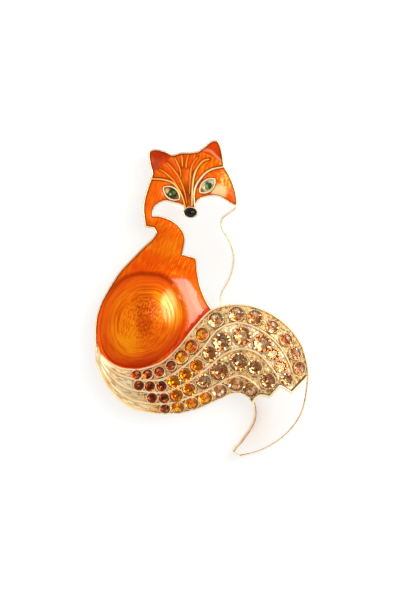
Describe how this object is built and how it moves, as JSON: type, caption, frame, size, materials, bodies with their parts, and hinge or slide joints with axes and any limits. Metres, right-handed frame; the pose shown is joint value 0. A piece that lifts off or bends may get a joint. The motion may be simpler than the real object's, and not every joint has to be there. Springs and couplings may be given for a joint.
{
  "type": "fox brooch",
  "caption": "Sitting fox brooch: a gold-plated casting with enamel cells, a stone-set curling tail and a pin fitting on its back.",
  "frame": {"origin": "middle of the brooch's width and height, on the surface that it lies on", "axes": "+Z out of the fox's face, away from the clothing; +Y from the tail's tip to the ears; +X to the viewer's right"},
  "size_m": [0.0406, 0.06, 0.0098],
  "materials": {
    "gold": "polished gold plating, pale warm gold",
    "pin_metal": "plain gold plating",
    "red_enamel": "glossy translucent dark red enamel",
    "orange_enamel": "glossy translucent orange enamel",
    "white_enamel": "glossy cream white enamel",
    "black_stone": "polished black",
    "green_stone": "faceted dark green, foil-backed",
    "garnet": "faceted dark red, foil-backed",
    "amber": "faceted orange, foil-backed",
    "champagne": "faceted pale brown, foil-backed"
  },
  "bodies": {
    "root": {"casting": "gold", "pin_clasp": "pin_metal", "ear_enamel_left": "red_enamel", "ear_enamel_right": "red_enamel", "forehead_enamel": "orange_enamel", "cheek_enamel_left": "orange_enamel", "cheek_enamel_right": "orange_enamel", "muzzle_chest_enamel": "white_enamel", "body_enamel": "orange_enamel", "tail_tip_enamel": "white_enamel", "nose_stone": "black_stone", "eye_stone_left": "green_stone", "eye_stone_right": "green_stone", "tail_stone_1_01": "garnet", "tail_stone_1_02": "garnet", "tail_stone_1_03": "garnet", "tail_stone_1_04": "garnet", "tail_stone_1_05": "amber", "tail_stone_1_06": "amber", "tail_stone_1_07": "amber", "tail_stone_1_08": "champagne", "tail_stone_1_09": "champagne", "tail_stone_1_10": "champagne", "tail_stone_1_11": "champagne", "tail_stone_1_12": "champagne", "tail_stone_1_13": "champagne", "tail_stone_1_14": "champagne", "tail_stone_2_01": "garnet", "tail_stone_2_02": "garnet", "tail_stone_2_03": "garnet", "tail_stone_2_04": "amber", "tail_stone_2_05": "amber", "tail_stone_2_06": "amber", "tail_stone_2_07": "champagne", "tail_stone_2_08": "champagne", "tail_stone_2_09": "champagne", "tail_stone_2_10": "champagne", "tail_stone_2_11": "champagne", "tail_stone_2_12": "champagne", "tail_stone_2_13": "champagne", "tail_stone_3_01": "garnet", "tail_stone_3_02": "garnet", "tail_stone_3_03": "amber", "tail_stone_3_04": "amber", "tail_stone_3_05": "champagne", "tail_stone_3_06": "champagne", "tail_stone_3_07": "champagne", "tail_stone_3_08": "champagne", "tail_stone_3_09": "champagne", "tail_stone_4_01": "garnet", "tail_stone_4_02": "amber", "tail_stone_4_03": "amber", "tail_stone_4_04": "amber", "tail_stone_4_05": "champagne", "tail_stone_4_06": "champagne", "tail_stone_4_07": "champagne"}
  },
  "joints": []
}
